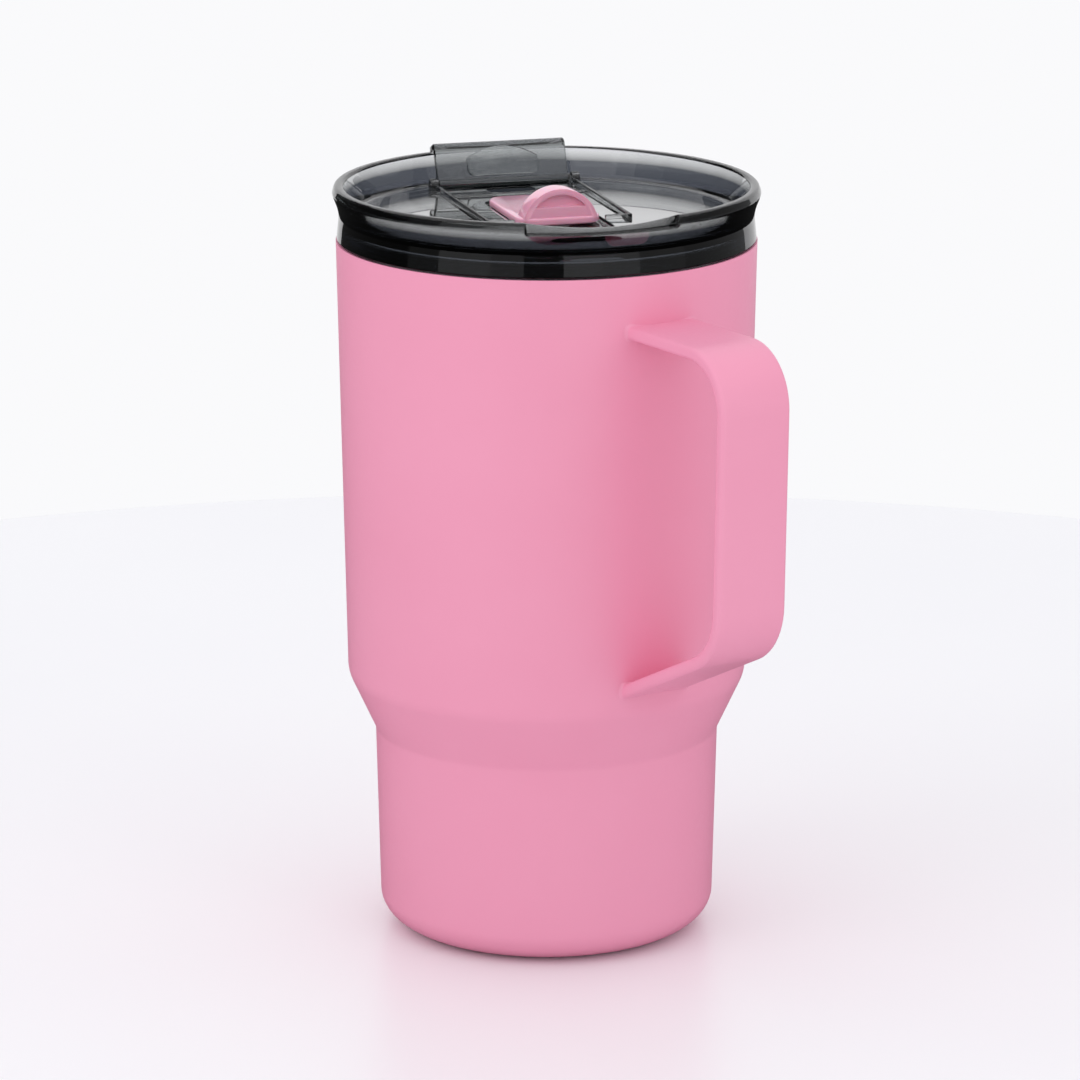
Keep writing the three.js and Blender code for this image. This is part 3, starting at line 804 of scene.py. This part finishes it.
# %% [markdown]
# ## The lid
#
# The lid is one moulding in smoke-tinted clear plastic: a plug that goes into the neck, a band
# with a flared lip, and a deck sunk below the crest. It is turned like the walls, then cut: a
# drinking notch in the front of the rim, the slider's pocket and slot, and two holes. Rails and
# hinge ears stand on the deck. The lid is drawn with the spout along +X and turned at the end.

# %% Lid sizes
seat = mug_height + seam
deck = crest - 6.5
deck_thickness = 2.4
deck_under = deck - deck_thickness
plug_outer = neck_inner - 1.2
plug_inner = plug_outer - 2.2
groove_low = plug_end + 2.6
groove_high = groove_low + 4.0
groove_radius = plug_outer - 1.5
band_radius, band_waist, band_waist_height = 45.1, 44.5, 6.3
lip_radius, crest_width, well_radius = 46.05, 1.7, 41.0
notch_half_width, notch_drop, notch_sag_radius = 16.6, 1.4, 111.0
notch_lip_radius, notch_ledge_drop = 44.0, 2.6
channel_width, channel_front = 30.4, 10.7
rail_width, rail_height = 0.8, 1.0
seat_bar_position, seat_bar_height = -21.4, 0.4
lug_width, lug_radius = 1.8, 1.5
pivot_radius, pivot_hole = 0.7, 0.85
barrel_radius, trough_clearance = 1.1, 0.4
slider_width, slider_back, slider_front, slider_corner = 18.6, -15.8, 11.6, 4.0
slider_travel = joints["slider_slide"]["range_m"][1] / MM
pocket_depth, pocket_side, pocket_end = 0.8, 0.7, 1.8
stem_half, stem_position, stem_gap = 2.5, -2.0, 0.3
sip_place, straw_place = 30.0, hinge_position + 5.1
hole_length, sip_width, straw_width = 5.8, 15, 11
bite = 0.5  # how far a rail or an ear reaches into the deck
through = 1.0  # how far a cutter stands out of what it cuts
TURN_LID = Matrix.Rotation(lid_turn, 4, "Z")


# %% Lid blank
def lid_blank():
    waist_z = mug_height + band_waist_height
    return turned("lid_moulding", rounded([
        (0, deck_under), (plug_inner, deck_under, 1.2),
        (plug_inner, plug_end, 0.4), (plug_outer - 0.8, plug_end, 0.4),
        (plug_outer, plug_end + 1.0, 0.6), (plug_outer, groove_low, 0.15),
        (groove_radius, groove_low), (groove_radius, groove_high),
        (plug_outer, groove_high, 0.15), (plug_outer, seat, 0.3),
        (band_radius, seat, 0.35), (band_waist, waist_z, 14),
        (lip_radius, crest - 1.7, 1.3),
        (lip_radius - 0.6, crest, 0.9),
        (lip_radius - 0.6 - crest_width, crest, 0.8),
        (well_radius, deck, 1.6),
        (0, deck),
    ]), 240, SMOKE)


# %% Drinking notch
def notch_cutters():
    """The sagging cut that lowers the crest, and the cut that leaves a thin lip above a ledge."""
    inside, outside, above = well_radius - 4, lip_radius + 3, crest + 3
    steps = 40
    sag = []
    for k in range(steps + 1):
        y = -notch_half_width + 2 * notch_half_width * k / steps
        drop = notch_sag_radius - math.sqrt(notch_sag_radius ** 2 - y ** 2)
        sag.append((y, crest - notch_drop + drop))
    over = [(notch_half_width, above), (-notch_half_width, above)]
    lowered = prism("sag", sag + over, inside, outside, "X")
    reach = math.asin(notch_half_width / notch_lip_radius)
    flare_outline = arc(notch_lip_radius, -reach, reach, steps)
    flare_outline += [(outside, notch_half_width), (outside, -notch_half_width)]
    flare = prism("flare", flare_outline, crest - notch_ledge_drop, above)
    return lowered, ease_edges(flare, 0.9, 5)


# %% Rails, ears and cuts
def rails():
    inner, outer = channel_width / 2, channel_width / 2 + rail_width
    pocket_edge = slider_width / 2 + pocket_side
    low, top = deck - bite, deck + rail_height
    bars = [block("bar", seat_bar_position, seat_bar_position + rail_width, -inner - 0.2, inner + 0.2,
                  low, deck + seat_bar_height)]
    for side in (-1, 1):
        long_side = sorted((side * inner, side * outer))
        short_side = sorted((side * pocket_edge, side * outer))
        rail = block("rail", hinge_position, channel_front, *long_side, low, top)
        front = block("return", channel_front - rail_width, channel_front, *short_side, low, top - 0.02)
        bars += [rail, front]
    return [ease_edges(bar, 0.25, 3) for bar in bars]


def hinge_ears():
    ears = []
    inner = channel_width / 2
    for side in (-1, 1):
        y0, y1 = sorted((side * inner, side * (inner + lug_width)))
        profile = [(hinge_position + lug_radius, deck - bite),
                   *arc(lug_radius, 0, math.pi, 24, hinge_position, hinge_height),
                   (hinge_position - lug_radius, deck - bite)]
        ears.append(ease_edges(prism("ear", profile, y0, y1, "Y"), 0.2, 2))
    return ears


def deck_hole(middle, width):
    half = hole_length / 2
    outline = plate_outline(middle - half, middle + half, width / 2, half - 0.05)
    return prism("hole", outline, deck_under - through, deck + through)


def pocket_and_slot():
    half = slider_width / 2 + pocket_side
    front = slider_front + slider_travel + pocket_side
    outline = plate_outline(slider_back - pocket_end, front, half, slider_corner + pocket_side)
    pocket = prism("pocket", outline, deck - pocket_depth, deck + 5)
    slot_half = stem_half + stem_gap
    slot_front = stem_position + slot_half + slider_travel
    outline = plate_outline(stem_position - slot_half, slot_front, slot_half, 1)
    slot = prism("slot", outline, deck_under - through, deck + through)
    return ease_edges(pocket, 0.35, 3), slot


# %% Values that the lid's mesh carries
# Where and how strongly painted shade darkens the lid: the band below a height, the standing rails and
# ears, and the underside.
band_shade_height, band_shade_fade = 8.7, 1.8  # above the mug's rim
band_shade_depth, band_shade_edge = 1.2, 0.6  # inside the band's waist
standing_shade, underside_shade = 0.75, 0.9


def held(value):
    return min(max(value, 0), 1)


def paint_lid_shade(lid):
    """Writes at each face corner how strongly painted shade darkens it and how polished the face is."""
    shade_layer = lid.data.attributes.new("painted_shade", "FLOAT", "CORNER")
    polish = lid.data.attributes.new("polish", "FLOAT", "CORNER")
    corner_shades = [0.0] * len(lid.data.loops)
    shines = [0.0] * len(lid.data.loops)
    for face in lid.data.polygons:
        x, y, z = face.center / MM
        side = abs(y) - channel_width / 2
        standing = z > deck + 0.1 and -0.02 < side < lug_width + 0.02 and x < channel_front + 0.1
        standing = standing and math.hypot(x, y) < well_radius
        below = z < deck_under + 0.1
        level = face.normal.z > 0.8 and abs(z - deck) < 0.2
        for corner in face.loop_indices:
            point = lid.data.vertices[lid.data.loops[corner].vertex_index].co / MM
            out = math.hypot(point.x, point.y) - band_waist + band_shade_depth
            up = point.z - mug_height - band_shade_height
            band = held(out / band_shade_edge) * (1 - held(up / band_shade_fade))
            # Painted shade: near black on the band below a height over the rim, on the rails and ears,
            # and on the underside.
            corner_shades[corner] = max(band, standing * standing_shade, below * underside_shade)
            shines[corner] = float(level)
    shade_layer.data.foreach_set("value", corner_shades)
    polish.data.foreach_set("value", shines)
    return lid


# %% The whole lid
def lid_moulding():
    lid = lid_blank()
    ear_reach = channel_width / 2 + lug_width + 0.1
    combine(lid, "DIFFERENCE", *notch_cutters())
    combine(lid, "UNION", *rails(), *hinge_ears())
    combine(lid, "DIFFERENCE", *pocket_and_slot(), deck_hole(sip_place, sip_width),
            deck_hole(straw_place, straw_width),
            round_bar("pin_hole", pivot_hole, -ear_reach, ear_reach, hinge_position, hinge_height),
            round_bar("trough", barrel_radius + trough_clearance, -channel_width / 2,
                      channel_width / 2, hinge_position, hinge_height))
    return soften(place(paint_lid_shade(lid), TURN_LID), 32)


hand_over(lid_moulding(), "lid", "smoke_plastic", SMOKE, "lid_shell")

# %% [markdown]
# ## The gasket
#
# A silicone ring sits in the plug's groove. Its two fins bend against the steel neck, which seals
# the mug and is all that holds the lid. It is turned, with the fins' tips thin and round.

# %% Gasket
def gasket():
    back, fin = groove_radius + 0.05, neck_inner - 0.2
    low, high = groove_low + 0.1, groove_high - 0.1
    part = (high - low) / 4
    waist = plug_outer - 0.2
    return soften(turned("lid_gasket_fine", rounded([
        (back, low), (plug_outer, low, 0.2),
        (fin, low + part * 0.6, 0.2), (fin, low + part * 1.2, 0.2),
        (waist, low + part * 1.6, 0.3), (waist, low + part * 2.4, 0.3),
        (fin, low + part * 2.8, 0.2), (fin, low + part * 3.4, 0.2),
        (plug_outer, high, 0.2), (back, high),
    ]), 192, MILKY), 50)


hand_over(gasket(), "lid", "clear_silicone", MILKY, "lid_gasket")

# %% [markdown]
# ## The flip cover
#
# A small plate over the rear opening turns on its own moulded pivots. Its free edge turns up into
# a thumb lip, and a D-shaped silicone pad under the plate seals the opening; its edge shows as a
# crescent through the plastic. Both are drawn closed, with the hinge on the Y axis, then opened to
# the angle that the joint's range gives.

# %% Flip cover
pivot_length = 1.3
flap_length, flap_thickness, flap_lip = 9.8, 1.6, 4.4
lip_round = 0.62
seal_thickness = 0.7
seal_half, seal_arc_radius, seal_start, seal_end = 8.0, 14.0, 1.7, 8.2
flap_underside = deck + seal_thickness + seam - hinge_height
flap_half = channel_width / 2 - 0.3
open_angle = math.radians(joints["flap_hinge"]["range_deg"][1])
OPEN_FLAP = (Matrix.Rotation(-open_angle, 4, "Y"),
             Matrix.Translation((hinge_position * MM, 0, hinge_height * MM)), TURN_LID)


def flip_cover():
    top = flap_underside + flap_thickness
    lip_top, lip_back = flap_underside + flap_lip, flap_length - flap_thickness
    outline = rounded([
        (0, flap_underside), (flap_length, flap_underside, 1.6), (flap_length, lip_top, lip_round),
        (lip_back, lip_top, lip_round), (lip_back, top, 0.9), (0, top, 1.0),
    ], True)
    plate = ease_edges(prism("flip_cover", outline, -flap_half, flap_half, "Y"), 0.3, 4, 60)
    combine(plate, "UNION", round_bar("barrel", barrel_radius, -flap_half, flap_half),
            round_bar("pivots", pivot_radius, -flap_half - pivot_length, flap_half + pivot_length))
    return soften(place(plate, *OPEN_FLAP), 40)


def cover_seal():
    reach = math.asin(seal_half / seal_arc_radius)
    outline = [(seal_start + 1, seal_half), (seal_start, seal_half - 1),
               (seal_start, 1 - seal_half), (seal_start + 1, -seal_half),
               *arc(seal_arc_radius, -reach, reach, 32, seal_end - seal_arc_radius)]
    pad = prism("cover_seal", outline, flap_underside - seal_thickness, flap_underside - 0.05)
    return soften(place(ease_edges(pad, 0.15, 3), *OPEN_FLAP))


hand_over(flip_cover(), "flap", "smoke_plastic", COVER_SMOKE, "flap_cover")
hand_over(cover_seal(), "flap", "clear_silicone", CLEAR, "flap_seal")

# %% [markdown]
# ## The slider
#
# A thick gloss plate lies in a pocket of the deck, with an upright half-round tab for the thumb.
# The tab's front is scooped, which leaves a rim round it and a ledge at its foot. A square stem
# goes down through the slot and snaps through the clip that carries the sealing pad.

# %% Slider plate and tab
slider_low = deck - pocket_depth + 0.3
slider_thickness = 1.6
plate_top = slider_low + slider_thickness
tab_front, tab_thickness, tab_height, tab_radius = 11.0, 5.0, 7.2, 8.4
scoop_depth, tab_rim, tab_step = 1.2, 1.3, 2.2
clip_top = top_of("slider_clip")
clip_low = foot_of("slider_clip")
hook, hook_height = 0.8, 1.0


def half_wheel(name, radius, x0, x1, z_floor, z_center):
    """A disc on edge, cut off level at the floor."""
    start = math.asin(min(1, (z_floor - z_center) / radius))
    return prism(name, arc(radius, start, math.pi - start, 72, 0, z_center), x0, x1, "X")


def thumb_slider():
    half = slider_width / 2
    center = deck + tab_height - tab_radius
    outline = plate_outline(slider_back, slider_front, half, slider_corner)
    plate = ease_edges(prism("thumb_slider", outline, slider_low, plate_top), 0.45, 4)
    tab = half_wheel("tab", tab_radius, tab_front - tab_thickness, tab_front, plate_top - 0.6, center)
    scoop = half_wheel("scoop", tab_radius - tab_rim, tab_front - scoop_depth, slider_front + 1,
                       plate_top + tab_step, center)
    tab = ease_edges(combine(tab, "DIFFERENCE", scoop), 0.55, 5)
    x0, x1 = stem_position - stem_half, stem_position + stem_half
    hook_top = clip_low - seam
    stem = block("stem", x0, x1, -stem_half, stem_half, hook_top - hook_height, slider_low + 0.4)
    snap = block("snap", x0, x1, -stem_half - hook, stem_half + hook, hook_top - hook_height, hook_top)
    combine(plate, "UNION", tab, stem, snap)
    return soften(place(plate, TURN_LID), 50)


# %% Clip and pad
clip_back, clip_front, clip_half = -8.0, 26.0, 9.5
pad_margin, pad_thickness = 1.0, 0.9


def lower_clip():
    outline = plate_outline(clip_back, clip_front, clip_half, 3)
    clip = prism("lower_clip", outline, clip_low, clip_top)
    hole = stem_half + seam
    socket = block("socket", stem_position - hole, stem_position + hole, -hole, hole, clip_low - 1,
                   clip_top + 1)
    return soften(place(combine(ease_edges(clip, 0.3, 3), "DIFFERENCE", socket), TURN_LID))


def sip_pad():
    half = clip_half - pad_margin
    back = stem_position + stem_half + pad_margin
    outline = plate_outline(back, clip_front - pad_margin, half, 2)
    pad = prism("sip_pad", outline, clip_top + 0.02, clip_top + seam + pad_thickness)
    return soften(place(ease_edges(pad, 0.25, 3), TURN_LID))


hand_over(thumb_slider(), "slider", "pink_plastic", PINK, "slider_tab")
hand_over(lower_clip(), "slider", "pink_plastic", PINK, "slider_clip")
hand_over(sip_pad(), "slider", "clear_silicone", MILKY, "slider_pad")

# %% [markdown]
# ## What the vacuum hides
#
# The foil, the getter and the glass bead are sealed between the walls. Their CAD solids already
# have the right shape, so they stay and only get their finishes.

# %% Finishes for the hidden pieces
HIDDEN = {
    "foil_sleeve": grained("crumpled_copper_foil", (160, 5, 0.65),
                           ((0.62, 0.30, 0.17), (0.80, 0.44, 0.27)), (0.4, 0.7),
                           Metallic=1.0, Roughness=0.25),
    "getter": grained("sintered_metal", (3500, 3),
                      ((0.22, 0.22, 0.23), (0.36, 0.36, 0.37)), (0.06, 0.7),
                      Metallic=0.8, Roughness=0.6),
    "seal_bead": grained("melted_glass", (500, 2),
                         ((0.14, 0.17, 0.18), (0.20, 0.24, 0.26)), (0.08, 0.5),
                         Roughness=0.08, IOR=1.5),
}
for node, finish in HIDDEN.items():
    mesh = frame["nodes"][node].data
    mesh.materials.clear()
    mesh.materials.append(finish)
    print(node, "gets", finish.name)

# %% [markdown]
# ## The table, the light and the camera
#
# The mug stands on a pale round table in a bright white room, which lights it evenly from all
# round. Gloss shows the room it stands in, and on the real lid that is black with a few grey
# panels. So dark cloths and dim panels hang round the mug and lie under the table. They are seen
# by reflections alone, and the table and the softboxes by everything except reflections.

# %% Table
table_radius, table_thickness = 395, 20
table_top = -0.02  # a hair below the foot


def table_finish():
    recipe = Recipe("pale_table")
    recipe.set(Roughness=0.3, IOR=1.45)
    recipe.color(recipe.noise(6, 2), (0.915, 0.915, 0.945), (0.93, 0.93, 0.955))
    recipe.feed("Roughness", recipe.span(recipe.noise(40, 1), 0.318, 0.322))
    return recipe.material


def table():
    top = turned("table_top", rounded([
        (0, -table_thickness), (table_radius, -table_thickness, 4), (table_radius, table_top, 6),
        (0, table_top)]), 256)
    soften(top)
    top.data.materials.clear()
    top.data.materials.append(table_finish())
    top.visible_glossy = False
    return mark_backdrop(top)


table()

# %% Room and softboxes
camera_place = Vector((0.99149, -0.63333, 0.38763))
camera_aim = Vector((-0.81694, 0.52045, -0.24847))
camera_lens = 186.05
camera_turn = math.degrees(math.atan2(camera_place.y, camera_place.x))
mug_middle = Vector((0, 0, 0.09))


def room(brightness=0.97):
    world = bpy.data.worlds.new("white_room")
    bpy.context.scene.world = world
    world.use_nodes = True
    back = world.node_tree.nodes["Background"]
    back.inputs["Color"].default_value = (0.985, 0.985, 1.0, 1)
    back.inputs["Strength"].default_value = brightness


def softbox(name, side_degrees, height, distance, size, power):
    """An area light aimed at the mug, its side counted from the camera's, to the right."""
    lamp = bpy.data.lights.new(name, "AREA")
    lamp.shape = "RECTANGLE"
    lamp.size, lamp.size_y = size
    lamp.energy = power
    thing = new_object(name, lamp)
    turn = math.radians(camera_turn + side_degrees)
    thing.location = (math.cos(turn) * distance, math.sin(turn) * distance, height)
    thing.rotation_euler = (thing.location - mug_middle).to_track_quat("Z", "Y").to_euler()
    thing.visible_glossy = False


room()
softbox("softbox_left", -55, 0.8, 1.1, (0.7, 0.9), 1.8)
softbox("softbox_right", 42, 0.5, 1.3, (0.5, 0.9), 0.9)

# %% Panels that only reflections see
panel_radius, panel_low, panel_high = 1.9, -1.1, 1.5
panel_strips = 8
floor_height, floor_sides, floor_brightness = -0.25, 48, 0.02
PANELS = (  # from, to (degrees from the camera's side, to the right), brightness
    (-152, -80, 0.04), (-80, -60, 0.14), (-60, -30, 0.50), (-30, -12, 0.36), (-12, 9, 0.08),
    (9, 30, 0.62), (30, 51, 0.55), (51, 80, 0.30), (80, 138, 0.22),
)


def hang(name, mesh, brightness):
    """Gives a panel its glow and hides it from everything but reflections."""
    cloth = bpy.data.materials.new(name + "_cloth")
    cloth.use_nodes = True
    nodes = cloth.node_tree.nodes
    nodes.remove(nodes["Principled BSDF"])
    glow = nodes.new("ShaderNodeEmission")
    glow.inputs["Color"].default_value = (0.97, 0.98, 1.0, 1)
    glow.inputs["Strength"].default_value = brightness
    cloth.node_tree.links.new(glow.outputs[0], nodes["Material Output"].inputs["Surface"])
    mesh.materials.append(cloth)
    thing = new_object(name, mesh)
    thing.visible_camera = False
    thing.visible_diffuse = False
    thing.visible_shadow = False
    thing.visible_transmission = False
    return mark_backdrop(thing)


def panel(number, start, end, brightness):
    first, last = math.radians(camera_turn + start), math.radians(camera_turn + end)
    places = [(x, y, z) for x, y in arc(panel_radius, first, last, panel_strips)
              for z in (panel_low, panel_high)]
    faces = [(2 * k, 2 * k + 1, 2 * k + 3, 2 * k + 2) for k in range(panel_strips)]
    mesh = bpy.data.meshes.new(f"panel_{number}")
    mesh.from_pydata(places, [], faces)
    return hang(f"panel_{number}", mesh, brightness)


def dark_floor():
    """A black cloth under the table, for the faces that look down."""
    mesh = bpy.data.meshes.new("floor_cloth")
    mesh.from_pydata([(x, y, floor_height) for x, y in around(panel_radius, floor_sides)], [],
                     [tuple(range(floor_sides))])
    return hang("floor_cloth", mesh, floor_brightness)


dark_floor()
for number, (start, end, brightness) in enumerate(PANELS):
    panel(number, start, end, brightness)

# %% Camera
def viewpoint():
    lens = bpy.data.cameras.new("camera")
    lens.lens = camera_lens
    lens.sensor_width = 36
    lens.clip_start = 0.01
    thing = new_object("camera", lens)
    thing.location = camera_place
    thing.rotation_euler = camera_aim.to_track_quat("-Z", "Y").to_euler()
    bpy.context.scene.camera = thing
    bpy.context.scene.view_settings.view_transform = "Standard"


viewpoint()
